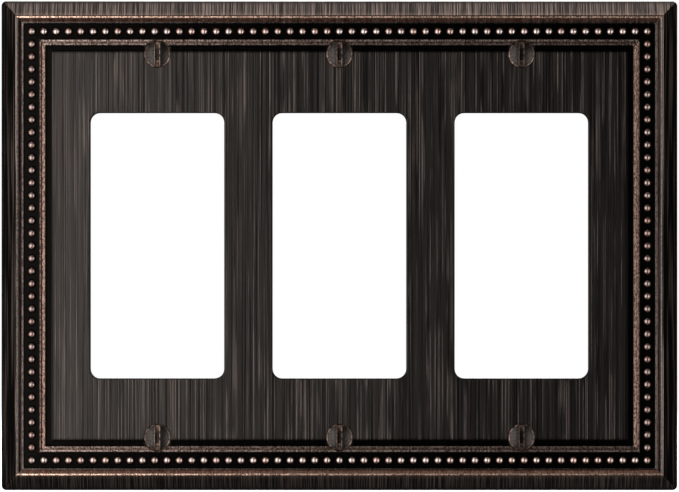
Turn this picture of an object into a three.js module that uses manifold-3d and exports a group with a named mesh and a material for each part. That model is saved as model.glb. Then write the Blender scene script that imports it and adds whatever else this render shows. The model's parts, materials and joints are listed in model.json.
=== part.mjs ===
// Three-gang wall plate cover for rocker (decorator) devices, cast in zinc, with its six mounting screws.
//
// Millimetres, +Z up. The plate hangs upright on a wall: +X is to the right, the face looks towards -Y, and
// the wall is the plane y = 0. The origin is the middle of the plate's outline, on the wall.
// Shapes are drawn lying down, with x across, y up the plate and z as the height above the wall. The whole
// group is then stood up.

import * as THREE from "three";
import { mergeVertices } from "three/addons/utils/BufferGeometryUtils.js";
import Module from "manifold-3d";

const wasm = await Module();
wasm.setup();

// ---------------------------------------------------------------- driving dimensions

const GANGS = 3;
const GANG_PITCH = 46.04; // 1 13/16 in from one device to the next
const SCREW_SPACING = 96.84; // 3 13/16 in between the two screws of one device
const PLATE = { width: 171.1, height: 123.8, corner: 1.2 };
const WINDOW = { width: 33.8, height: 67.1, corner: 2.4 };

// Heights above the wall.
const LEVEL = {
  rim: 3.2, // top of the upright outer wall, where the bevel starts
  crest: 7.4,
  crestFoot: 6.9, // foot of the slope from the crest in to the channel
  channelFloor: 5.3,
  ridge: 6.8,
  grooveFloor: 5.2,
  panel: 6.2,
  hollow: 4.2, // underside of the face
  hollowShoulder: 1.6, // where the hollow starts to close in under the bevel
  lip: 3, // back edges of the lips, bosses and ribs, clear of the devices' straps
};

// Distances in from the plate's outer edge.
const INSET = {
  bevelTop: 3.75,
  crestIn: 4.15,
  channelOut: 5.68,
  channelIn: 9.67,
  ridgeIn: 11.2,
  panel: 12.6,
  hollow: 1.9,
  hollowTop: 4.2,
};

const BEAD = { radius: 1.15, across: 51, down: 35, sides: 6, root: 0.4 };
const BOSS_RADIUS = 3.75;
const LIP_WALL = 1.5;
const RIB_WALL = 1.2;

// Number 6 screw holes, countersunk at 82 degrees for oval-head screws.
const ROUND_SIDES = 24;
const SINK_SLOPE = Math.tan(THREE.MathUtils.degToRad(41));
const HOLE_RADIUS = 2.17;
const SINK_RADIUS = 3.37; // at the panel's face

// Number 6-32 oval-head screw, 3/4 in long under the head's edge.
const SCREW = {
  headRadius: 3.4,
  edge: 0.1,
  dome: 0.85,
  shankRadius: 1.7,
  length: 19.05,
  tip: 0.6,
  slotWidth: 1.1,
  slotDepth: 1.2,
};
const SEAT_GAP = 0.15; // between the head's cone and the countersink, along the screw

const CUT_MARGIN = 1; // how far a cutter runs past the face that it cuts

// ---------------------------------------------------------------- solids

function toSolid(geometry) {
  const plain = geometry.clone();
  plain.deleteAttribute("normal");
  plain.deleteAttribute("uv");
  const merged = mergeVertices(plain, 1e-4);
  return new wasm.Manifold(
    new wasm.Mesh({
      numProp: 3,
      vertProperties: merged.attributes.position.array,
      triVerts: new Uint32Array(merged.index.array),
    }),
  );
}

function toGeometry(solid) {
  const { vertProperties, triVerts } = solid.getMesh();
  const geometry = new THREE.BufferGeometry();
  geometry.setAttribute("position", new THREE.BufferAttribute(vertProperties, 3));
  geometry.setIndex(new THREE.BufferAttribute(triVerts, 1));
  geometry.computeVertexNormals();
  return geometry;
}

const join = (solid, extras) => extras.reduce((sum, extra) => sum.add(extra), solid);
const cut = (solid, cutters) => cutters.reduce((rest, cutter) => rest.subtract(cutter), solid);

function roundedRectangle(Path, width, height, radius) {
  const x = width / 2 - radius;
  const y = height / 2 - radius;
  const outline = new Path();
  if (radius === 0) {
    outline.setFromPoints([
      new THREE.Vector2(-x, -y),
      new THREE.Vector2(x, -y),
      new THREE.Vector2(x, y),
      new THREE.Vector2(-x, y),
    ]);
    return outline;
  }
  outline.absarc(x, -y, radius, -Math.PI / 2, 0);
  outline.absarc(x, y, radius, 0, Math.PI / 2);
  outline.absarc(-x, y, radius, Math.PI / 2, Math.PI);
  outline.absarc(-x, -y, radius, Math.PI, 1.5 * Math.PI);
  return outline;
}

// The plate's outline, brought in by inset on every side.
const plateShape = (inset, corner = 0, Path = THREE.Shape) =>
  roundedRectangle(Path, PLATE.width - 2 * inset, PLATE.height - 2 * inset, corner);

function slab(shape, low, high) {
  const geometry = new THREE.ExtrudeGeometry(shape, {
    depth: high - low,
    bevelEnabled: false,
    curveSegments: 5,
  });
  return toSolid(geometry.translate(0, 0, low));
}

// A slab of the plate's outline at insetWide from low to high, which runs on past both heights by rise while
// its outline draws in to insetNarrow.
function taperedSlab(insetWide, insetNarrow, low, high, rise) {
  const geometry = new THREE.ExtrudeGeometry(plateShape(insetNarrow), {
    depth: high - low,
    bevelThickness: rise,
    bevelSize: insetNarrow - insetWide,
    bevelSegments: 1,
  });
  return toSolid(geometry.translate(0, 0, low));
}

// A band that follows the plate's outline between two insets.
function band(insetOut, insetIn, low, high) {
  const shape = plateShape(insetOut);
  shape.holes.push(plateShape(insetIn, 0, THREE.Path));
  return slab(shape, low, high);
}

function box(width, height, low, high, x, y) {
  return toSolid(new THREE.BoxGeometry(width, height, high - low).translate(x, y, (low + high) / 2));
}

// A turned solid that stands along z, from its profile of [radius, height] points.
function turned(profile, sides = ROUND_SIDES) {
  const points = profile.map(([radius, height]) => new THREE.Vector2(radius, height));
  return toSolid(new THREE.LatheGeometry(points, sides).rotateX(Math.PI / 2));
}

// ---------------------------------------------------------------- places

const gangCentres = Array.from({ length: GANGS }, (_, i) => (i - (GANGS - 1) / 2) * GANG_PITCH);
const GANG_NAMES = ["left", "middle", "right"];
const screwPlaces = [1, -1].flatMap((side) =>
  gangCentres.map((x, gang) => ({
    name: `screw_${side > 0 ? "top" : "bottom"}_${GANG_NAMES[gang]}`,
    x,
    y: (side * SCREW_SPACING) / 2,
  })),
);

// Bead centres: a full row along the top and bottom, and the columns between their ends.
function beadPlaces() {
  const inset = (INSET.channelOut + INSET.channelIn) / 2;
  const halfWidth = PLATE.width / 2 - inset;
  const halfHeight = PLATE.height / 2 - inset;
  const places = [];
  for (let i = 0; i < BEAD.across; i++) {
    const x = halfWidth * ((2 * i) / (BEAD.across - 1) - 1);
    places.push([x, halfHeight], [x, -halfHeight]);
  }
  for (let i = 1; i < BEAD.down - 1; i++) {
    const y = halfHeight * ((2 * i) / (BEAD.down - 1) - 1);
    places.push([halfWidth, y], [-halfWidth, y]);
  }
  return places;
}

// ---------------------------------------------------------------- cover plate

// The moulded face: bevel, crest, bead channel, inner ridge, groove and raised panel, over a hollow back.
function mouldedFace() {
  const above = LEVEL.crest + CUT_MARGIN;
  const bevelRise = LEVEL.crest - LEVEL.rim;
  const bevelled = taperedSlab(0, INSET.bevelTop, -CUT_MARGIN, LEVEL.rim, bevelRise);
  const blank = bevelled.intersect(slab(plateShape(0, PLATE.corner), 0, above));
  const crestRise = LEVEL.crest - LEVEL.crestFoot;
  const hollowRise = LEVEL.hollow - LEVEL.hollowShoulder;
  return cut(blank, [
    taperedSlab(INSET.crestIn, INSET.channelOut, LEVEL.crest, above, crestRise),
    band(INSET.channelOut, INSET.channelIn, LEVEL.channelFloor, above),
    band(INSET.channelIn, INSET.ridgeIn, LEVEL.ridge, above),
    slab(plateShape(INSET.ridgeIn), LEVEL.panel, above),
    band(INSET.ridgeIn, INSET.panel, LEVEL.grooveFloor, above),
    taperedSlab(INSET.hollow, INSET.hollowTop, -CUT_MARGIN, LEVEL.hollowShoulder, hollowRise),
  ]);
}

function windowShape(grow) {
  const { width, height, corner } = WINDOW;
  return roundedRectangle(THREE.Shape, width + 2 * grow, height + 2 * grow, corner + grow);
}

// Stiffening lip on the back, round a window.
function windowLip(x) {
  return slab(windowShape(LIP_WALL), LEVEL.lip, LEVEL.grooveFloor).translate([x, 0, 0]);
}

function windowCutter(x) {
  return slab(windowShape(0), -CUT_MARGIN, LEVEL.crest + CUT_MARGIN).translate([x, 0, 0]);
}

function screwBoss({ x, y }) {
  const profile = [
    [0, LEVEL.lip],
    [BOSS_RADIUS, LEVEL.lip],
    [BOSS_RADIUS, LEVEL.panel],
    [0, LEVEL.panel],
  ];
  return turned(profile).translate([x, y, 0]);
}

// Stiffening rib on the back, from the rim through the boss to the window's lip.
function bossRib({ x, y }) {
  const outer = PLATE.height / 2 - INSET.hollow;
  const inner = WINDOW.height / 2;
  const middle = (Math.sign(y) * (outer + inner)) / 2;
  return box(RIB_WALL, outer - inner, LEVEL.lip, LEVEL.grooveFloor, x, middle);
}

function countersunkHole({ x, y }) {
  const top = LEVEL.crest + CUT_MARGIN;
  const profile = [
    [0, -CUT_MARGIN],
    [HOLE_RADIUS, -CUT_MARGIN],
    [HOLE_RADIUS, LEVEL.panel - (SINK_RADIUS - HOLE_RADIUS) / SINK_SLOPE],
    [SINK_RADIUS + (top - LEVEL.panel) * SINK_SLOPE, top],
    [0, top],
  ];
  return turned(profile).translate([x, y, 0]);
}

// A half ball on a short root that sinks into the channel's floor.
function bead([x, y]) {
  const slant = BEAD.radius * Math.SQRT1_2;
  const profile = [
    [0, -BEAD.root],
    [BEAD.radius, -BEAD.root],
    [BEAD.radius, 0],
    [slant, slant],
    [0, BEAD.radius],
  ];
  return turned(profile, BEAD.sides).translate([x, y, LEVEL.channelFloor]);
}

function coverPlate() {
  const body = join(mouldedFace(), [
    ...screwPlaces.map(screwBoss),
    ...screwPlaces.map(bossRib),
    ...gangCentres.map(windowLip),
    ...beadPlaces().map(bead),
  ]);
  return cut(body, [...gangCentres.map(windowCutter), ...screwPlaces.map(countersunkHole)]);
}

// ---------------------------------------------------------------- screw

// Oval-head screw with its head's edge at z = 0 and its tip pointing down to -z.
function ovalHeadScrew() {
  const { headRadius, edge, dome, shankRadius, length, tip } = SCREW;
  const coneFoot = -edge - (headRadius - shankRadius) / SINK_SLOPE;
  const domeRadius = (headRadius ** 2 + dome ** 2) / (2 * dome);
  const domeSteps = 3;
  const domeProfile = Array.from({ length: domeSteps + 1 }, (_, i) => {
    const radius = headRadius * (1 - i / domeSteps);
    return [radius, dome - domeRadius + Math.sqrt(domeRadius ** 2 - radius ** 2)];
  });
  const blank = turned([
    [0, -length],
    [shankRadius - tip, -length],
    [shankRadius, tip - length],
    [shankRadius, coneFoot],
    [headRadius, -edge],
    ...domeProfile,
  ]);
  const slotFloor = dome - SCREW.slotDepth;
  return blank.subtract(box(SCREW.slotWidth, 4 * headRadius, slotFloor, dome + CUT_MARGIN, 0, 0));
}

// Height of a seated head's edge: its cone lies in the countersink, clear of it by the seat gap.
const SCREW_SEAT = LEVEL.panel + (SCREW.headRadius - SINK_RADIUS) / SINK_SLOPE + SCREW.edge + SEAT_GAP;

// ---------------------------------------------------------------- finishes

const oilRubbedBronze = new THREE.MeshStandardMaterial({
  name: "oil_rubbed_bronze",
  color: new THREE.Color(0.05, 0.042, 0.038),
  roughness: 0.42,
  metalness: 0.9,
});

const screwBronze = new THREE.MeshStandardMaterial({
  name: "screw_bronze",
  color: new THREE.Color(0.06, 0.045, 0.038),
  roughness: 0.35,
  metalness: 0.9,
});

// ---------------------------------------------------------------- assembly

const wallPlate = new THREE.Group();
wallPlate.name = "wall_plate_cover";

const plate = new THREE.Mesh(toGeometry(coverPlate()), oilRubbedBronze);
plate.name = "cover_plate";
wallPlate.add(plate);

const screws = new THREE.Group();
const screwGeometry = toGeometry(ovalHeadScrew());
for (const { name, x, y } of screwPlaces) {
  const screw = new THREE.Mesh(screwGeometry, screwBronze);
  screw.name = name;
  screw.position.set(x, y, SCREW_SEAT);
  screws.add(screw);
}
wallPlate.add(screws);

// Stand the plate up: height above the wall becomes -Y.
wallPlate.rotation.x = Math.PI / 2;

export default wallPlate;
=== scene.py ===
"""Looks of the beaded three-gang wall plate cover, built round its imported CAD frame.

The frame is in metres, with the wall at y = 0, +Z up and the face looking towards -Y. Shapes are worked out
in millimetres as (across, up, height above the wall), and on_wall() turns those into the frame.
"""

import json
import math

import bmesh
import bpy
from mathutils import Matrix, Vector
from mathutils.geometry import delaunay_2d_cdt

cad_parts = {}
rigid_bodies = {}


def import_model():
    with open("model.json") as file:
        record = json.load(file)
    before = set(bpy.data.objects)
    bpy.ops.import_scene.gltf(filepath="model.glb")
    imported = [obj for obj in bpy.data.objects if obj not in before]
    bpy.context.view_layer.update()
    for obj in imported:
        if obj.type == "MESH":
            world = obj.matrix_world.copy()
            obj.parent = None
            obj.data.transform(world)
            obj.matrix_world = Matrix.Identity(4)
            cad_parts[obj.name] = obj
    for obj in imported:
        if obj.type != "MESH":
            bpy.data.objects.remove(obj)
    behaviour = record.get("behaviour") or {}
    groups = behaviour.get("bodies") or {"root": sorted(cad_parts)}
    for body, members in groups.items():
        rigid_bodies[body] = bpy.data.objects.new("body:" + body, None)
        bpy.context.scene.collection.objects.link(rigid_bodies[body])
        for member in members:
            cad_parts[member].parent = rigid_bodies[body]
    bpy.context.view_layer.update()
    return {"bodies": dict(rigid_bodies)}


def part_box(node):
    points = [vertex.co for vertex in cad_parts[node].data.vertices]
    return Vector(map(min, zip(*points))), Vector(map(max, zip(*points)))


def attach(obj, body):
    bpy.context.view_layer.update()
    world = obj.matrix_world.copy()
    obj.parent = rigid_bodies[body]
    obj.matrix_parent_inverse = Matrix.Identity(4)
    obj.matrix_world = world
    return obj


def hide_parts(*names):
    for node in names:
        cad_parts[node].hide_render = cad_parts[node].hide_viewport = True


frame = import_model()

# ------------------------------------------------------------------ sizes, in millimetres

MM = 0.001

PLATE_LOW, PLATE_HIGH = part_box("cover_plate")
PLATE_WIDTH = (PLATE_HIGH.x - PLATE_LOW.x) / MM
PLATE_HEIGHT = (PLATE_HIGH.z - PLATE_LOW.z) / MM
SCREW_BODIES = sorted(name for name in frame["bodies"] if name.startswith("screw_"))


def screw_centre(body):
    """Where a screw's axis meets the wall, as (across, up)."""
    low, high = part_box(body)
    return (low.x + high.x) / 2 / MM, (low.z + high.z) / 2 / MM


SCREW_CENTRES = [screw_centre(body) for body in SCREW_BODIES]
GANG_CENTRES = sorted({round(across, 2) for across, up in SCREW_CENTRES})

# Heights above the wall.
PANEL_HEIGHT = 6.2
RIDGE_HEIGHT = 6.8
CREST_HEIGHT = 7.4
LEDGE_HEIGHT = 6.2
CHANNEL_FLOOR = 5.3
GROOVE_FLOOR = 5.2
HOLLOW_ROOF = 4.2
BACK_LEVEL = 3.0  # of the bosses and of the lips round the windows, inside the hollow
BEVEL_FOOT = 3.2
RIM_HEIGHT = 1.6  # where the rim's inner wall meets the hollow's slope

# Distances in from the plate's edge.
RIM_WIDTH = 1.9
CREST_IN = 4.0
HOLLOW_IN = 4.2
LEDGE_IN = 5.24
CHANNEL_OUT, CHANNEL_IN = 5.68, 9.67
RIDGE_VALLEY = 10.45
RIDGE_IN = 11.25
PANEL_IN = 12.6

CREST_ROUNDING = 0.16  # what the crest's fillet takes off its height
VALLEY_DEPTH = 0.2

BEAD_RADIUS = 1.15
BEADS_ACROSS, BEADS_DOWN = 51, 35
BEAD_SIDES, BEAD_RINGS = 20, 6

WINDOW_WIDTH, WINDOW_HEIGHT, WINDOW_CORNER = 33.8, 67.1, 2.4
WINDOW_LIP = 1.5
RIB_WIDTH, RIB_EDGE = 1.2, 0.2
RIB_INSET = 0.5  # how far a rib's ends stop short of the rim's inner wall and the lip's outer one
BOSS_RADIUS, BOSS_SIDES = 3.75, 48
HOLE_RADIUS = 2.17
SINK_ANGLE = 82
SINK_SLOPE = math.tan(math.radians(SINK_ANGLE / 2))
SINK_RADIUS, SINK_SIDES = 3.37, 64
HOLE_MOUTH = 2.4
CLEARING_RADIUS = 3.6  # the ridge is cut away this far round a screw's head
SLIVER = 0.001  # a few of these keep two faces out of one plane, where a boolean could fail

# The screw's head and thread are given by their radii.
SCREW_HEAD = 3.4
SCREW_EDGE = 0.1  # height of the straight edge round the head
SCREW_DOME = 0.85
SCREW_LENGTH = 19.05
SLOT_WIDTH, SLOT_DEPTH = 1.1, 1.2
EDGE_ROUNDING = 0.04
PLAIN_SHANK = 0.5
TIP_CHAMFER = 0.15
THREAD_MAJOR, THREAD_MINOR, THREAD_PITCH = 1.7, 1.28, 0.794
THREAD_SPAN = 0.75  # share of the pitch that the thread takes at its root
THREAD_STEEPNESS = 2.2
THREAD_RINGS = 8  # in each turn
THREAD_RUNOUT = 0.9  # length of the fading thread at the tip
SCREW_SIDES, DOME_STEPS = 32, 8

ARC_STEPS = 6  # along a quarter circle of an outline
FILLET_STEP = math.radians(16)

# ------------------------------------------------------------------ points and paths


def on_wall(across, up, height):
    """A point of the frame, in metres."""
    return Vector((across, -height, up)) * MM


def rounded_path(corners):
    """Points along a path of (sideways, height, fillet radius) corners, each rounded to its own radius."""
    points = []
    for i, (sideways, height, radius) in enumerate(corners):
        here = Vector((sideways, height))
        if radius == 0:
            points.append(here)
            continue
        before = (Vector(corners[i - 1][:2]) - here).normalized()
        after = (Vector(corners[i + 1][:2]) - here).normalized()
        half_angle = before.angle(after) / 2
        centre = here + (before + after).normalized() * radius / math.sin(half_angle)
        reach = radius / math.tan(half_angle)
        start = here + before * reach - centre
        end = here + after * reach - centre
        turn = math.copysign(start.angle(end), start.x * end.y - start.y * end.x)
        steps = max(2, math.ceil(abs(turn) / FILLET_STEP))
        points += [centre + Matrix.Rotation(turn * s / steps, 2) @ start for s in range(steps + 1)]
    return points


def rounded_rectangle(width, height, corner):
    """(across, up) points round a rectangle with rounded corners, counter-clockwise."""
    points = []
    quarters = ((1, -1, -0.5), (1, 1, 0), (-1, 1, 0.5), (-1, -1, 1))
    for side, end, first in quarters:
        centre = Vector((side * (width / 2 - corner), end * (height / 2 - corner)))
        for s in range(ARC_STEPS + 1):
            angle = (first + 0.5 * s / ARC_STEPS) * math.pi
            points.append(centre + corner * Vector((math.cos(angle), math.sin(angle))))
    return points


def between(stops, at):
    """The value at a place among (place, value) stops, in straight lines between them."""
    for (low, first), (high, second) in zip(stops, stops[1:]):
        if at <= high:
            share = max(0.0, (at - low) / (high - low))
            return first + share * (second - first)
    return stops[-1][1]


# ------------------------------------------------------------------ mesh building


def add_loop(bm, points, height):
    """A ring of vertices at one height, not joined up yet."""
    return [bm.verts.new(on_wall(across, up, height)) for across, up in points]


def skin(bm, first, second):
    """Faces between two loops of the same length."""
    for i in range(len(first)):
        bm.faces.new((first[i - 1], first[i], second[i], second[i - 1]))


def skin_all(bm, loops):
    """Faces between each loop and the next."""
    for first, second in zip(loops, loops[1:]):
        skin(bm, first, second)


def fill_between(bm, outline, holes):
    """Triangles that fill a flat surface between an outline and the outlines of its convex holes."""
    corners, edges, hole_of = [], [], []
    for number, loop in enumerate([outline, *holes]):
        first = len(corners)
        edges += [(first + i, first + (i + 1) % len(loop)) for i in range(len(loop))]
        corners += loop
        hole_of += [number] * len(loop)
    flat = [Vector((vert.co.x, vert.co.z)) / MM for vert in corners]
    inside_constraints = 1
    _, _, faces, sources, _, _ = delaunay_2d_cdt(flat, edges, [], inside_constraints, 1e-5)
    for face in faces:
        picked = [sources[i][0] for i in face]
        owners = {hole_of[i] for i in picked}
        if len(owners) > 1 or owners == {0}:
            bm.faces.new([corners[i] for i in picked])


def turned(bm, profile, sides, centre=(0, 0)):
    """A closed solid of revolution. Its profile of (radius, height) points starts and ends on the axis."""
    across, up = centre
    loops = []
    for radius, height in profile[1:-1]:
        angles = [2 * math.pi * s / sides for s in range(sides)]
        ring = [(across + radius * math.cos(a), up + radius * math.sin(a)) for a in angles]
        loops.append(add_loop(bm, ring, height))
    skin_all(bm, loops)
    for loop, (_, height) in ((loops[0], profile[0]), (loops[-1], profile[-1])):
        tip = bm.verts.new(on_wall(across, up, height))
        for i in range(sides):
            bm.faces.new((loop[i - 1], loop[i], tip))


def add_block(bm, low, high):
    """A box between two (across, up, height) corners."""
    middle = on_wall(*((a + b) / 2 for a, b in zip(low, high)))
    size = on_wall(*(b - a for a, b in zip(low, high)))
    placed = Matrix.Translation(middle) @ Matrix.Diagonal((*map(abs, size), 1))
    bmesh.ops.create_cube(bm, size=1, matrix=placed)


def to_object(bm, name):
    """An object from a closed mesh, with its faces turned outwards."""
    bmesh.ops.recalc_face_normals(bm, faces=bm.faces)
    if bm.calc_volume(signed=True) < 0:
        bmesh.ops.reverse_faces(bm, faces=bm.faces)
    mesh = bpy.data.meshes.new(name)
    bm.to_mesh(mesh)
    bm.free()
    piece = bpy.data.objects.new(name, mesh)
    bpy.context.collection.objects.link(piece)
    return piece


def apply_modifiers(piece):
    """Makes what the piece's modifiers show its own mesh."""
    shown = piece.evaluated_get(bpy.context.evaluated_depsgraph_get())
    mesh = bpy.data.meshes.new_from_object(shown)
    piece.modifiers.clear()
    piece.data = mesh


def combine(piece, operation, tool):
    """Joins tool to piece, or cuts it away, and removes tool."""
    boolean = piece.modifiers.new(operation, "BOOLEAN")
    boolean.operation = operation
    boolean.object = tool
    boolean.solver = "EXACT"
    apply_modifiers(piece)
    bpy.data.objects.remove(tool)


def soften(piece, width, sharp_above):
    """Rounds the edges sharper than the angle."""
    bevel = piece.modifiers.new("softened edges", "BEVEL")
    bevel.width = width * MM
    bevel.segments = 2
    bevel.limit_method = "ANGLE"
    bevel.angle_limit = math.radians(sharp_above)
    bevel.use_clamp_overlap = True
    apply_modifiers(piece)


def shade(piece, sharp_above):
    """Smooth shading that keeps flat faces flat, with edges sharper than the angle left crisp."""
    piece.data.shade_smooth()
    piece.data.set_sharp_from_angle(angle=math.radians(sharp_above))
    weighted = piece.modifiers.new("flat faces first", "WEIGHTED_NORMAL")
    weighted.keep_sharp = True
    apply_modifiers(piece)


# ------------------------------------------------------------------ cover plate

# Each path is of (distance in from the plate's edge, height, fillet radius) corners.

# From the hollow's roof down to the middle of the rim.
HOLLOW_PATH = (
    (HOLLOW_IN + 1.0, HOLLOW_ROOF, 0),
    (HOLLOW_IN, HOLLOW_ROOF, 0.6),
    (RIM_WIDTH, RIM_HEIGHT, 0.8),
    (RIM_WIDTH, 0, 0.2),
    (RIM_WIDTH / 2 + 0.05, 0, 0),
)
# From the middle of the rim up the outer wall and the bevel, over the crest and down into the bead channel.
BEVEL_PATH = (
    (RIM_WIDTH / 2 - 0.05, 0, 0),
    (0, 0, 0.2),
    (0, BEVEL_FOOT, 0.7),
    (CREST_IN, CREST_HEIGHT + CREST_ROUNDING, 0.6),
    (LEDGE_IN, LEDGE_HEIGHT, 0.2),
    (CHANNEL_OUT, LEDGE_HEIGHT, 0.14),
    (CHANNEL_OUT, CHANNEL_FLOOR, 0.2),
    (CHANNEL_OUT + 0.5, CHANNEL_FLOOR, 0),
)
# From the channel's floor over the inner ridge, through the groove and on to the panel.
RIDGE_PATH = (
    (CHANNEL_IN - 0.5, CHANNEL_FLOOR, 0),
    (CHANNEL_IN, CHANNEL_FLOOR, 0.2),
    (CHANNEL_IN, RIDGE_HEIGHT, 0.3),
    (RIDGE_VALLEY, RIDGE_HEIGHT - VALLEY_DEPTH, 0.2),
    (RIDGE_IN, RIDGE_HEIGHT, 0.22),
    (RIDGE_IN, GROOVE_FLOOR, 0.15),
    (PANEL_IN, GROOVE_FLOOR, 0.15),
    (PANEL_IN, PANEL_HEIGHT, 0.15),
    (PANEL_IN + 0.4, PANEL_HEIGHT, 0),
)
# From the panel down through a window, round the lip behind and on to the hollow's roof. These distances
# are out from the window's edge.
WINDOW_PATH = (
    (0.6, PANEL_HEIGHT, 0),
    (0, PANEL_HEIGHT, 0.3),
    (0, BACK_LEVEL, 0.3),
    (WINDOW_LIP, BACK_LEVEL, 0.3),
    (WINDOW_LIP + 0.1, HOLLOW_ROOF, 0.3),
    (WINDOW_LIP + 0.7, HOLLOW_ROOF, 0),
)
# (distance in, radius) of the plate's corners in plan.
FRONT_CORNERS = (
    (0, 1.2),
    (CREST_IN, 0.05),
    (LEDGE_IN, 0.05),
    (CHANNEL_OUT, 0.35),
    (CHANNEL_IN, 0.7),
    (RIDGE_IN, 0.35),
    (PANEL_IN, 0.8),
)
BACK_CORNERS = ((0, 1.2), (RIM_WIDTH, 1.5), (HOLLOW_IN, 2.5))


def plate_loops(bm, path, corners):
    """A loop parallel to the plate's edge for each point of a path."""
    loops = []
    for inset, height in rounded_path(path):
        size = (PLATE_WIDTH - 2 * inset, PLATE_HEIGHT - 2 * inset, between(corners, inset))
        loops.append(add_loop(bm, rounded_rectangle(*size), height))
    return loops


def window_loops(bm, centre):
    """A window's walls and its lip behind. Returns their loops, from the panel to the hollow's roof."""
    loops = []
    for grow, height in rounded_path(WINDOW_PATH):
        size = (WINDOW_WIDTH + 2 * grow, WINDOW_HEIGHT + 2 * grow, WINDOW_CORNER + grow)
        points = [point + Vector((centre, 0)) for point in rounded_rectangle(*size)]
        loops.append(add_loop(bm, points, height))
    skin_all(bm, loops)
    return loops


def bead_centres():
    """(across, up) of each bead: full rows along the top and bottom, and the columns between their ends."""
    inset = (CHANNEL_OUT + CHANNEL_IN) / 2
    half_width, half_height = PLATE_WIDTH / 2 - inset, PLATE_HEIGHT / 2 - inset
    across = [half_width * (2 * i / (BEADS_ACROSS - 1) - 1) for i in range(BEADS_ACROSS)]
    up = [half_height * (2 * i / (BEADS_DOWN - 1) - 1) for i in range(1, BEADS_DOWN - 1)]
    rows = [(a, side * half_height) for a in across for side in (1, -1)]
    return rows + [(side * half_width, u) for u in up for side in (1, -1)]


def add_bead(bm, across, up):
    """A half ball on the channel's floor, open below. Returns its bottom loop."""
    loops = []
    for ring in range(BEAD_RINGS):
        slant = 0.5 * math.pi * ring / BEAD_RINGS
        radius = BEAD_RADIUS * math.cos(slant)
        angles = [2 * math.pi * s / BEAD_SIDES for s in range(BEAD_SIDES)]
        points = [(across + radius * math.cos(a), up + radius * math.sin(a)) for a in angles]
        loops.append(add_loop(bm, points, CHANNEL_FLOOR + BEAD_RADIUS * math.sin(slant)))
    skin_all(bm, loops)
    top = bm.verts.new(on_wall(across, up, CHANNEL_FLOOR + BEAD_RADIUS))
    for i in range(BEAD_SIDES):
        bm.faces.new((loops[-1][i - 1], loops[-1][i], top))
    return loops[0]


def plate_casting():
    """The plate without its screw holes: rim, bevel, beads, ridge, panel, windows and hollow back."""
    bm = bmesh.new()
    outside = plate_loops(bm, HOLLOW_PATH, BACK_CORNERS) + plate_loops(bm, BEVEL_PATH, FRONT_CORNERS)
    inside = plate_loops(bm, RIDGE_PATH, FRONT_CORNERS)
    skin_all(bm, outside)
    skin_all(bm, inside)
    beads = [add_bead(bm, across, up) for across, up in bead_centres()]
    windows = [window_loops(bm, centre) for centre in GANG_CENTRES]
    fill_between(bm, outside[-1], [inside[0], *beads])
    fill_between(bm, inside[-1], [loops[0] for loops in windows])
    fill_between(bm, outside[0], [loops[-1] for loops in windows])
    return to_object(bm, "cover_plate_casting")


def bosses():
    """Round bosses at the screw holes, which stand out of the groove in front and of the hollow behind."""
    bm = bmesh.new()
    top = PANEL_HEIGHT - 3 * SLIVER
    path = ((0.5, BACK_LEVEL, 0), (BOSS_RADIUS, BACK_LEVEL, 0.3), (BOSS_RADIUS, top, 0))
    profile = ((0, BACK_LEVEL), *rounded_path(path), (0, top))
    for centre in SCREW_CENTRES:
        turned(bm, profile, BOSS_SIDES, centre)
    return to_object(bm, "bosses")


def ribs():
    """Stiffening ribs on the back, from near the rim through each boss to the window's lip."""
    bm = bmesh.new()
    outer = PLATE_HEIGHT / 2 - RIM_WIDTH - RIB_INSET
    inner = WINDOW_HEIGHT / 2 + WINDOW_LIP - RIB_INSET
    bottom, top = BACK_LEVEL + 0.1, GROOVE_FLOOR - 0.2
    for across, up in SCREW_CENTRES:
        low, high = sorted((math.copysign(inner, up), math.copysign(outer, up)))
        left, right = across - RIB_WIDTH / 2, across + RIB_WIDTH / 2
        add_block(bm, (left, low, bottom), (right, high, top))
    bmesh.ops.bevel(bm, geom=bm.edges[:], offset=RIB_EDGE * MM, segments=3, affect="EDGES", profile=0.5)
    return to_object(bm, "ribs")


def countersinks():
    """Cutters for the screw holes, with the rounded edges that casting and plating leave."""
    bm = bmesh.new()
    cone_foot = PANEL_HEIGHT - (SINK_RADIUS - HOLE_RADIUS) / SINK_SLOPE
    bottom, top = -1.0, CREST_HEIGHT + 2
    path = (
        (HOLE_MOUTH, bottom, 0),
        (HOLE_MOUTH, BACK_LEVEL, 0),
        (HOLE_RADIUS, BACK_LEVEL + 0.25, 0),
        (HOLE_RADIUS, cone_foot, 0.1),
        (SINK_RADIUS, PANEL_HEIGHT, 0.2),
        (CLEARING_RADIUS - 0.04, PANEL_HEIGHT + 4 * SLIVER, 0),
        (CLEARING_RADIUS, RIDGE_HEIGHT + 3 * SLIVER, 0.2),
        (CLEARING_RADIUS + 0.25, RIDGE_HEIGHT + 4 * SLIVER, 0),
        (CLEARING_RADIUS + 0.25, top, 0),
    )
    profile = ((0, bottom), *rounded_path(path), (0, top))
    for centre in SCREW_CENTRES:
        turned(bm, profile, SINK_SIDES, centre)
    return to_object(bm, "countersinks")


def cover_plate():
    """The whole casting, with its bosses, ribs and countersunk holes."""
    piece = plate_casting()
    combine(piece, "UNION", ribs())
    combine(piece, "UNION", bosses())
    combine(piece, "DIFFERENCE", countersinks())
    shade(piece, sharp_above=38)
    return piece


# ------------------------------------------------------------------ screws

# All heights here are above the head's edge, so that one mesh serves every screw.


def thread_rise(height, angle):
    """How far the thread stands out at a place, from 0 at its root to 1 on its crest."""
    turn = (height / THREAD_PITCH + angle / (2 * math.pi)) % 1
    flank = THREAD_STEEPNESS * (THREAD_SPAN - abs(2 * turn - 1))
    return min(1.0, max(0.0, flank))


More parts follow.
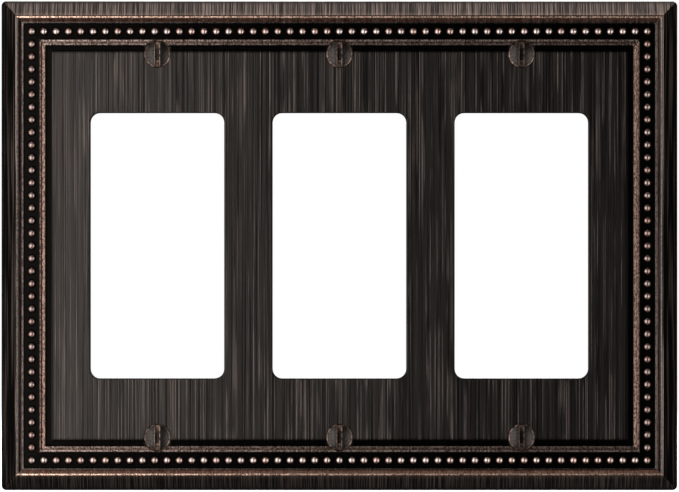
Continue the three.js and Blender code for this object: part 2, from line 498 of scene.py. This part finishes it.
def screw_rings():
    """(radius, share of the thread, height) of each ring, from the top of the dome down to the tip."""
    dome_radius = (SCREW_HEAD**2 + SCREW_DOME**2) / (2 * SCREW_DOME)
    rings = []
    for step in range(1, DOME_STEPS + 1):
        radius = (SCREW_HEAD - 2 * EDGE_ROUNDING) * step / DOME_STEPS
        rings.append((radius, 0, SCREW_DOME - dome_radius + math.sqrt(dome_radius**2 - radius**2)))
    cone_foot = -SCREW_EDGE - (SCREW_HEAD - THREAD_MAJOR) / SINK_SLOPE
    rings += [
        (SCREW_HEAD, 0, -EDGE_ROUNDING),
        (SCREW_HEAD - EDGE_ROUNDING / 2, 0, -SCREW_EDGE),
        (THREAD_MAJOR, 0, cone_foot),
        (THREAD_MAJOR, 0, cone_foot - PLAIN_SHANK),
    ]
    step = THREAD_PITCH / THREAD_RINGS
    start = cone_foot - PLAIN_SHANK - 0.3
    for i in range(int((start + SCREW_LENGTH) / step)):
        height = start - i * step
        share = min(1.0, (height + SCREW_LENGTH) / THREAD_RUNOUT, (i + 1) / THREAD_RINGS)
        rings.append((THREAD_MINOR, share, height))
    rings.append((THREAD_MINOR - TIP_CHAMFER, 0, -SCREW_LENGTH))
    return rings


def screw_mesh():
    """An oval-head machine screw, with an upright slot and its thread cut to the tip."""
    bm = bmesh.new()
    loops = []
    angles = [2 * math.pi * s / SCREW_SIDES for s in range(SCREW_SIDES)]
    for radius, share, height in screw_rings():
        depth = share * (THREAD_MAJOR - THREAD_MINOR)
        reach = [radius + depth * thread_rise(height, angle) for angle in angles]
        ring = [(r * math.cos(a), r * math.sin(a)) for r, a in zip(reach, angles)]
        loops.append(add_loop(bm, ring, height))
    skin_all(bm, loops)
    for loop, height in ((loops[0], SCREW_DOME), (loops[-1], -SCREW_LENGTH)):
        middle = bm.verts.new(on_wall(0, 0, height))
        for i in range(SCREW_SIDES):
            bm.faces.new((loop[i - 1], loop[i], middle))
    piece = to_object(bm, "slotted_screw")
    cutter = bmesh.new()
    half_slot, reach = SLOT_WIDTH / 2, 2 * SCREW_HEAD
    add_block(cutter, (-half_slot, -reach, SCREW_DOME - SLOT_DEPTH), (half_slot, reach, reach))
    combine(piece, "DIFFERENCE", to_object(cutter, "slot_cutter"))
    soften(piece, width=0.05, sharp_above=40)
    shade(piece, sharp_above=40)
    mesh = piece.data
    bpy.data.objects.remove(piece)
    return mesh


def add_screws():
    """One slotted screw on each screw body, in its seat."""
    mesh = screw_mesh()
    mesh.materials.append(screw_finish())
    for body, (across, up) in zip(SCREW_BODIES, SCREW_CENTRES):
        seat = SCREW_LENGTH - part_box(body)[1].y / MM
        piece = bpy.data.objects.new(f"slotted_{body}", mesh)
        bpy.context.collection.objects.link(piece)
        piece.location = on_wall(across, up, seat)
        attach(piece, body)
        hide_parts(body)


# ------------------------------------------------------------------ materials

# Colours are linear.
PATINA = (0.0370, 0.0326, 0.0298)
DEEP_PATINA = (0.0225, 0.0190, 0.0172)
STREAK_DARK = (0.0165, 0.0136, 0.0124)
STREAK_PALE = (0.165, 0.1230, 0.1060)
# Painted shade: the side bevels' patina, far darker than the top and bottom bevels'.
SHADED_SIDE_PATINA = (0.0075, 0.0058, 0.0053)
# Painted shade: near black for hollows and recesses, far darker than the patina they really keep.
CAVITY_SHADE = (0.0034, 0.0028, 0.0026)
# Painted reflection: a less black copy of the painted shade, for the hollows of the side members.
SIDE_CAVITY_SHADE = (0.0042, 0.0037, 0.0034)
CAST_DARK = (0.055, 0.046, 0.041)
CAST_PALE = (0.110, 0.094, 0.085)
BROWN = (0.142, 0.057, 0.034)
DULL_BROWN = (0.034, 0.0190, 0.0148)
PALE = (0.420, 0.325, 0.285)
COPPER = (1.000, 0.640, 0.480)
BEAD_COPPER = (0.450, 0.372, 0.342)
BEAD_ROSE = (0.400, 0.280, 0.240)

# Where the finish changes, as distances in from the plate's edge.
BEVEL_END = 3.85
CREST_BAND = (3.92, 4.38)
SLOPE_START = 4.5

# How much of each mark shows, from 0 to 1.
FINE_SHARE = 0.87
PALE_STREAKS = 0.17
CREST_TINT_AND_SHEEN = 0.07
PATINA_WORN = 0.9
RIDGE_SPECKS = 0.12
SLOPE_STREAKS = 0.35
SLOPE_SPECKS = 0.10
CREST_RUB = 0.16
LEDGE_HIGHLIGHT = 0.25
LENGTHWISE_REED_RUB = 0.06
INNER_REED_LOSS = 0.5
BEAD_SIDE_BROWN = 0.7
LENGTHWISE_BEAD_RUB = 0.46
THREAD_RUB = 0.6
SCREW_RUB = 0.25
SLOT_SHADE = 0.7

# Roughness of the darkest streaks. Paler ones are rougher.
PLATE_ROUGHNESS = 0.26
SCREW_ROUGHNESS = 0.30


class Nodes:
    """A material's nodes, with a short call for each kind used here. Lengths are in millimetres."""

    def __init__(self, name):
        self.material = bpy.data.materials.new(name)
        self.material.use_nodes = True
        self.tree = self.material.node_tree
        self.shader = self.tree.nodes["Principled BSDF"]
        place = self.add("TexCoord", {}).outputs["Object"]
        scaled = self.add("VectorMath", {0: place, "Scale": 1 / MM}, operation="SCALE")
        self.place = scaled.outputs["Vector"]
        self.across, depth, self.up = self.add("SeparateXYZ", {0: self.place}).outputs
        self.height = self.math("MULTIPLY", depth, -1.0)

    def add(self, kind, inputs, **settings):
        """A new node, with its inputs fed and its settings set."""
        node = self.tree.nodes.new(f"ShaderNode{kind}")
        for name, value in settings.items():
            setattr(node, name, value)
        for key, value in inputs.items():
            self.feed(node.inputs[key], value)
        return node

    def feed(self, socket, value):
        """Links another node's output to a socket, or sets the socket's own value."""
        if isinstance(value, bpy.types.NodeSocket):
            self.tree.links.new(value, socket)
        elif isinstance(value, tuple) and len(value) == 3 and socket.type == "RGBA":
            socket.default_value = (*value, 1)
        else:
            socket.default_value = value

    def math(self, operation, *values):
        return self.add("Math", dict(enumerate(values)), operation=operation).outputs[0]

    def product(self, first, *others):
        for other in others:
            first = self.math("MULTIPLY", first, other)
        return first

    def rising(self, base, value, rise):
        """From base, at value 0, to base + rise, at value 1."""
        return self.math("ADD", base, self.math("MULTIPLY", value, rise))

    def inverse(self, value):
        return self.math("SUBTRACT", 1.0, value)

    def steps(self, value, low, high):
        """0 up to low, 1 from high on, and smooth between."""
        inputs = {"Value": value, "From Min": low, "From Max": high}
        return self.add("MapRange", inputs, interpolation_type="SMOOTHSTEP").outputs["Result"]

    def band(self, value, low, high, soft):
        """1 between low and high, 0 outside, with edges soft wide."""
        rise = self.steps(value, low - soft / 2, low + soft / 2)
        fall = self.steps(value, high + soft / 2, high - soft / 2)
        return self.math("MULTIPLY", rise, fall)

    def blend(self, share, first, second):
        """A colour from first, at share 0, to second, at share 1."""
        mix = self.add("Mix", {0: share, 6: first, 7: second}, data_type="RGBA")
        return mix.outputs[2]

    def streaks(self, width, length, detail=2.0, seed=0.0):
        """Noise drawn out along the brushing, from about 0.2 to 0.8."""
        scale = (1 / width, 1 / length, 1 / length)
        inputs = {"Vector": self.place, "Location": (seed, 0, 0), "Scale": scale}
        drawn_out = self.add("Mapping", inputs).outputs["Vector"]
        noise = self.add("TexNoise", {"Vector": drawn_out, "Scale": 1.0, "Detail": detail})
        return noise.outputs["Fac"]

    def grain(self, size):
        """Noise of the same size all ways, from about 0.2 to 0.8."""
        noise = self.add("TexNoise", {"Vector": self.place, "Scale": 1 / size, "Detail": 2.0})
        return noise.outputs["Fac"]

    def finish(self, colour, roughness, relief, rise):
        """Feeds a metal shader. The relief's 0 to 1 stands for rise millimetres."""
        bump = self.add("Bump", {"Height": relief, "Distance": rise * MM})
        self.feed(self.shader.inputs["Base Color"], colour)
        self.feed(self.shader.inputs["Roughness"], roughness)
        self.feed(self.shader.inputs["Normal"], bump.outputs["Normal"])
        self.shader.inputs["Metallic"].default_value = 1.0
        return self.material


class PlateNodes(Nodes):
    """The plate's nodes, with where a point lies on the border and the noises that its finish shares."""

    def __init__(self, name):
        super().__init__(name)
        side = self.math("SUBTRACT", PLATE_WIDTH / 2, self.math("ABSOLUTE", self.across))
        end = self.math("SUBTRACT", PLATE_HEIGHT / 2, self.math("ABSOLUTE", self.up))
        self.inset = self.math("MINIMUM", side, end)
        # 1 on the border's top and bottom members, which cross the brushing, and 0 on its side members.
        self.crosswise = self.steps(self.math("SUBTRACT", side, end), -0.1, 0.1)
        self.lengthwise = self.inverse(self.crosswise)
        self.slope = self.band(self.inset, SLOPE_START, LEDGE_IN, 0.2)
        self.ridge = self.band(self.inset, CHANNEL_IN, RIDGE_IN, 0.1)
        self.channel = self.band(self.inset, CHANNEL_OUT, CHANNEL_IN, 0.1)
        self.bead_side = self.above_channel(0.35, 0.75)

        self.fine = self.steps(self.streaks(0.22, 80.0), 0.34, 0.66)
        soft = self.steps(self.streaks(1.1, 45.0, seed=31.0), 0.35, 0.65)
        self.tone = self.rising(self.product(self.fine, FINE_SHARE), soft, 1 - FINE_SHARE)
        fade = self.steps(self.streaks(1.6, 14.0, detail=1.0, seed=71.0), 0.30, 0.60)
        pale = self.steps(self.streaks(0.21, 90.0, detail=1.0, seed=57.0), 0.56, 0.66)
        self.bright = self.product(pale, fade)
        self.short = self.steps(self.streaks(0.28, 20.0, detail=3.0, seed=83.0), 0.42, 0.70)
        self.specks = self.steps(self.streaks(0.40, 0.6, detail=3.0, seed=19.0), 0.40, 0.60)

    def above_channel(self, low, high):
        """0 up to low above the channel's floor and 1 from high on, which picks out the beads."""
        rise = self.steps(self.height, CHANNEL_FLOOR + low, CHANNEL_FLOOR + high)
        return self.product(self.channel, rise)


def open_faces(n):
    """The panel and the bevels: patina with streaks, which show most on the top and bottom bevels, side
    bevels darkened as painted shade, and painted shade at the bevel's foot and along the panel's edge.
    """
    colour = n.blend(n.tone, DEEP_PATINA, PATINA)
    colour = n.blend(n.product(n.bright, PALE_STREAKS), colour, PALE)
    side_streaks = n.steps(n.streaks(0.30, 30.0, seed=43.0), 0.48, 0.68)
    # Painted shade: the side bevels take a darker patina than the top and bottom ones.
    side_face = n.blend(side_streaks, SHADED_SIDE_PATINA, STREAK_PALE)
    end_face = n.blend(n.short, STREAK_DARK, STREAK_PALE)
    toward_crest = n.steps(n.inset, 2.6, CREST_IN)
    # Copper toward the crest on the top and bottom bevels, partly rubbing and partly a painted sheen.
    end_face = n.blend(n.product(toward_crest, CREST_TINT_AND_SHEEN), end_face, COPPER)
    bevel = n.inverse(n.steps(n.inset, BEVEL_END - 0.1, BEVEL_END + 0.1))
    colour = n.blend(n.product(bevel, n.lengthwise), colour, side_face)
    colour = n.blend(n.product(bevel, n.crosswise), colour, end_face)
    # Painted shade darkens the bevel's foot and the panel's edge beside the groove.
    foot = n.inverse(n.steps(n.inset, -0.3, 1.3))
    colour = n.blend(foot, colour, STREAK_DARK)
    panel_edge = n.inverse(n.steps(n.inset, PANEL_IN, PANEL_IN + 0.9))
    return n.blend(n.product(panel_edge, n.steps(n.inset, RIDGE_IN, PANEL_IN)), colour, CAVITY_SHADE)


def worn_and_shaded_slopes(n, colour):
    """Brown on the slope inside the crest and on the ridge, with streaks and specks of bare metal; on the
    side members the slope's brown is darker, as painted shade.
    """
    # Painted shade: the side members' slope takes the dull brown, far darker than the brown of the top and
    # bottom slopes.
    colour = n.blend(n.product(n.slope, PATINA_WORN), colour, n.blend(n.crosswise, DULL_BROWN, BROWN))
    colour = n.blend(n.product(n.ridge, PATINA_WORN), colour, DULL_BROWN)
    colour = n.blend(n.product(n.specks, n.ridge, RIDGE_SPECKS), colour, COPPER)
    colour = n.blend(n.product(n.short, n.slope, SLOPE_STREAKS), colour, PALE)
    toward_crest = n.steps(n.inset, LEDGE_IN, SLOPE_START)
    return n.blend(n.product(n.slope, n.specks, toward_crest, n.crosswise, SLOPE_SPECKS), colour, COPPER)


def rubbed_edges_and_ledge_highlight(n, colour):
    """Pale rubbing on the ridge's two reeds and the crest, a pale painted highlight along the ledge,
    strongest on the side members, and copper on the crosswise crest.
    """
    uneven = n.rising(0.20, n.specks, 0.95)
    reeds = n.product(n.ridge, n.steps(n.height, RIDGE_HEIGHT - 0.20, RIDGE_HEIGHT - 0.06))
    inner_reed = n.steps(n.inset, RIDGE_VALLEY - 0.2, RIDGE_VALLEY + 0.2)
    reed_rub = n.product(n.crosswise, n.inverse(n.product(inner_reed, INNER_REED_LOSS)))
    reeds = n.product(reeds, n.math("MAXIMUM", LENGTHWISE_REED_RUB, reed_rub))
    crest = n.band(n.inset, *CREST_BAND, 0.16)
    # Painted highlight: pale along the ledge's edge, stronger on the side members.
    ledge = n.product(n.band(n.inset, LEDGE_IN, CHANNEL_OUT, 0.1), n.math("ADD", 0.2, n.lengthwise))
    pale = n.math("MAXIMUM", reeds, n.product(crest, CREST_RUB))
    pale = n.math("MAXIMUM", pale, n.product(ledge, LEDGE_HIGHLIGHT))
    colour = n.blend(n.product(pale, uneven), colour, PALE)
    return n.blend(n.product(crest, n.crosswise, uneven), colour, COPPER)


def cavities_and_beads(n, colour):
    """Painted shade, near black, in the channel, in the groove, in the countersinks and down the walls of
    the windows, over the dark patina these hollows keep, and copper on the beads.
    """
    inside = n.steps(n.inset, RIDGE_IN - 0.05, RIDGE_IN + 0.05)
    sunk = n.steps(n.height, PANEL_HEIGHT, PANEL_HEIGHT - 0.02)
    # Painted light and shade: the side members' hollows take a less black shade than the top and bottom
    # ones.
    cavity_shade = n.blend(n.crosswise, SIDE_CAVITY_SHADE, CAVITY_SHADE)
    # Painted shade: whatever lies below the panel in the channel and inward of the ridge goes near black,
    # the beads' feet too.
    colour = n.blend(n.product(n.math("MAXIMUM", n.channel, inside), sunk), colour, cavity_shade)
    colour = n.blend(n.product(n.bead_side, BEAD_SIDE_BROWN), colour, BROWN)
    rub = n.rising(LENGTHWISE_BEAD_RUB, n.crosswise, 1 - LENGTHWISE_BEAD_RUB)
    # The grain is coarser than the beads, so some of them are rosier than their neighbours.
    rosy = n.steps(n.grain(4.0), 0.45, 0.65)
    copper = n.blend(rosy, BEAD_COPPER, BEAD_ROSE)
    return n.blend(n.product(n.above_channel(0.65, 1.0), rub), colour, copper)


def plate_finish():
    """Oil-rubbed bronze: dark patina brushed upright, and rubbed through on the crest, ridge and beads."""
    n = PlateNodes("oil_rubbed_bronze_plate")
    colour = open_faces(n)
    colour = worn_and_shaded_slopes(n, colour)
    colour = rubbed_edges_and_ledge_highlight(n, colour)
    colour = cavities_and_beads(n, colour)

    roughness = n.rising(n.rising(PLATE_ROUGHNESS, n.tone, 0.11), n.bright, 0.07)
    roughness = n.rising(roughness, n.bead_side, 0.04)
    border = n.band(n.inset, CREST_IN - 0.3, PANEL_IN, 0.1)
    relief = n.rising(n.product(n.fine, 0.5), n.bright, 0.5)
    relief = n.product(relief, n.inverse(border))

    # The back is bare casting, even and dull. It is whatever lies below a surface just above the hollow's.
    roof = n.math("MINIMUM", HOLLOW_ROOF + 0.2, n.math("ADD", n.inset, 2.2))
    behind = n.steps(n.math("SUBTRACT", roof, n.height), 0.0, 0.2)
    behind = n.product(behind, n.steps(n.inset, 0.3, 0.6))
    colour = n.blend(behind, colour, n.blend(n.grain(0.8), CAST_DARK, CAST_PALE))
    roughness = n.rising(roughness, behind, 0.2)
    relief = n.product(relief, n.inverse(behind))
    return n.finish(colour, roughness, relief, rise=0.022)


def screw_finish():
    """The same bronze on steel, rubbed bright round the dome's edge and on the crests of the thread, with
    painted shade in the slot.
    """
    n = Nodes("oil_rubbed_bronze_screw")
    radius = n.math("SQRT", n.math("ADD", n.math("POWER", n.across, 2.0), n.math("POWER", n.up, 2.0)))
    fine = n.grain(0.35)
    patches = n.steps(n.grain(0.8), 0.35, 0.60)
    patina = n.blend(n.steps(fine, 0.35, 0.65), STREAK_DARK, PATINA)
    head = n.steps(n.height, -SCREW_EDGE - 0.1, -SCREW_EDGE)
    rim = n.band(radius, SCREW_HEAD - 0.35, SCREW_HEAD + 0.2, 0.2)
    half_slot = SLOT_WIDTH / 2
    slot_edge = n.band(n.math("ABSOLUTE", n.across), half_slot - 0.02, half_slot + 0.16, 0.1)
    head_edges = n.product(n.math("MAXIMUM", rim, slot_edge), head)
    thread_crest = n.product(n.steps(radius, THREAD_MINOR + 0.2, THREAD_MAJOR), n.inverse(head))
    rubbed = n.math("MAXIMUM", head_edges, n.product(thread_crest, THREAD_RUB))
    in_slot = n.product(n.steps(n.height, 0.25, -0.15), head)
    colour = n.blend(n.product(rubbed, patches, SCREW_RUB), patina, COPPER)
    # Painted shade: the inside of the slot goes dark.
    colour = n.blend(n.product(in_slot, SLOT_SHADE), colour, CAVITY_SHADE)
    roughness = n.rising(SCREW_ROUGHNESS, fine, 0.16)
    return n.finish(colour, roughness, fine, rise=0.012)


# ------------------------------------------------------------------ studio


# Lengths here are in metres.
FLOOR_REACH = 1.2
FLOOR_GAP = 0.0002

# (name, place, size, power) of each soft light. Key and fill make the two highlights on each bead, the glow
# fades the panel from left to right, and the next four light the four bevels.
SOFTBOXES = (
    ("key_left", (-0.27, -0.30, -0.06), (0.22, 0.50), 1.30),
    ("glow_left", (-0.15, -0.35, 0.02), (0.08, 0.60), 0.80),
    ("fill_right", (0.42, -0.42, -0.10), (0.26, 0.60), 2.15),
    ("overhead", (0, 0.02, 0.50), (0.80, 0.20), 1.1),
    ("underneath", (0, -0.05, -0.50), (0.80, 0.20), 0.135),
    ("left", (-0.50, -0.03, 0), (0.20, 0.50), 0.12),
    ("right", (0.50, -0.03, 0), (0.20, 0.50), 0.02),
    ("rear", (0.2, 0.60, 0.45), (0.60, 0.40), 6.0),
)


def studio_floor():
    """A pale, softly glowing floor under the plate. The metal doesn't mirror it, and it casts no shadow."""
    level = PLATE_LOW.z - FLOOR_GAP
    white, grey = (1, 1, 1, 1), (0.86, 0.86, 0.86, 1)
    corners = ((-1, -1), (1, -1), (1, 1), (-1, 1))
    bm = bmesh.new()
    bm.faces.new([bm.verts.new((x * FLOOR_REACH, y * FLOOR_REACH, level)) for x, y in corners])
    mesh = bpy.data.meshes.new("studio_floor")
    bm.to_mesh(mesh)
    bm.free()
    floor = bpy.data.objects.new("studio_floor", mesh)
    bpy.context.collection.objects.link(floor)
    paint = bpy.data.materials.new("pale_floor")
    paint.use_nodes = True
    shader = paint.node_tree.nodes["Principled BSDF"]
    shader.inputs["Base Color"].default_value = grey
    shader.inputs["Roughness"].default_value = 0.9
    shader.inputs["Emission Color"].default_value = white
    shader.inputs["Emission Strength"].default_value = 0.9
    mesh.materials.append(paint)
    floor.visible_glossy = False
    floor.visible_shadow = False


def softbox(name, place, size, power):
    """A rectangular area light at a place, in metres. It faces the plate's middle and stays unseen."""
    light = bpy.data.lights.new(name, "AREA")
    light.shape = "RECTANGLE"
    light.size, light.size_y = size
    light.energy = power
    lamp = bpy.data.objects.new(name, light)
    lamp.location = place
    lamp.rotation_euler = (-Vector(place)).to_track_quat("-Z", "Y").to_euler()
    lamp.visible_camera = False
    bpy.context.collection.objects.link(lamp)


def studio_world():
    """White where the camera sees past the plate, and dim for every other ray."""
    world = bpy.data.worlds.new("studio")
    bpy.context.scene.world = world
    world.use_nodes = True
    tree = world.node_tree
    tree.nodes.clear()
    seen = tree.nodes.new("ShaderNodeLightPath")
    dim = tree.nodes.new("ShaderNodeBackground")
    dim.inputs["Color"].default_value = (0.08, 0.08, 0.08, 1)
    white = tree.nodes.new("ShaderNodeBackground")
    white.inputs["Color"].default_value = (1, 1, 1, 1)
    mix = tree.nodes.new("ShaderNodeMixShader")
    output = tree.nodes.new("ShaderNodeOutputWorld")
    tree.links.new(seen.outputs["Is Camera Ray"], mix.inputs[0])
    tree.links.new(dim.outputs[0], mix.inputs[1])
    tree.links.new(white.outputs[0], mix.inputs[2])
    tree.links.new(mix.outputs[0], output.inputs["Surface"])


def studio_camera():
    """A long lens straight in front. It sees a little more than the plate's width."""
    seen_width, distance = 0.17192, 2.0
    aside, lift = 0.00002, -0.00007
    camera = bpy.data.cameras.new("camera")
    camera.lens = camera.sensor_width * distance / seen_width
    holder = bpy.data.objects.new("camera", camera)
    holder.location = (aside, -distance - BEVEL_FOOT * MM, lift)
    holder.rotation_euler = (math.pi / 2, 0, 0)
    bpy.context.collection.objects.link(holder)
    bpy.context.scene.camera = holder
    bpy.context.scene.view_settings.view_transform = "Standard"


# ------------------------------------------------------------------ the whole

plate = cover_plate()
plate.data.materials.append(plate_finish())
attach(plate, "plate")
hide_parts("cover_plate")
add_screws()

studio_floor()
for soft_light in SOFTBOXES:
    softbox(*soft_light)
studio_world()
studio_camera()
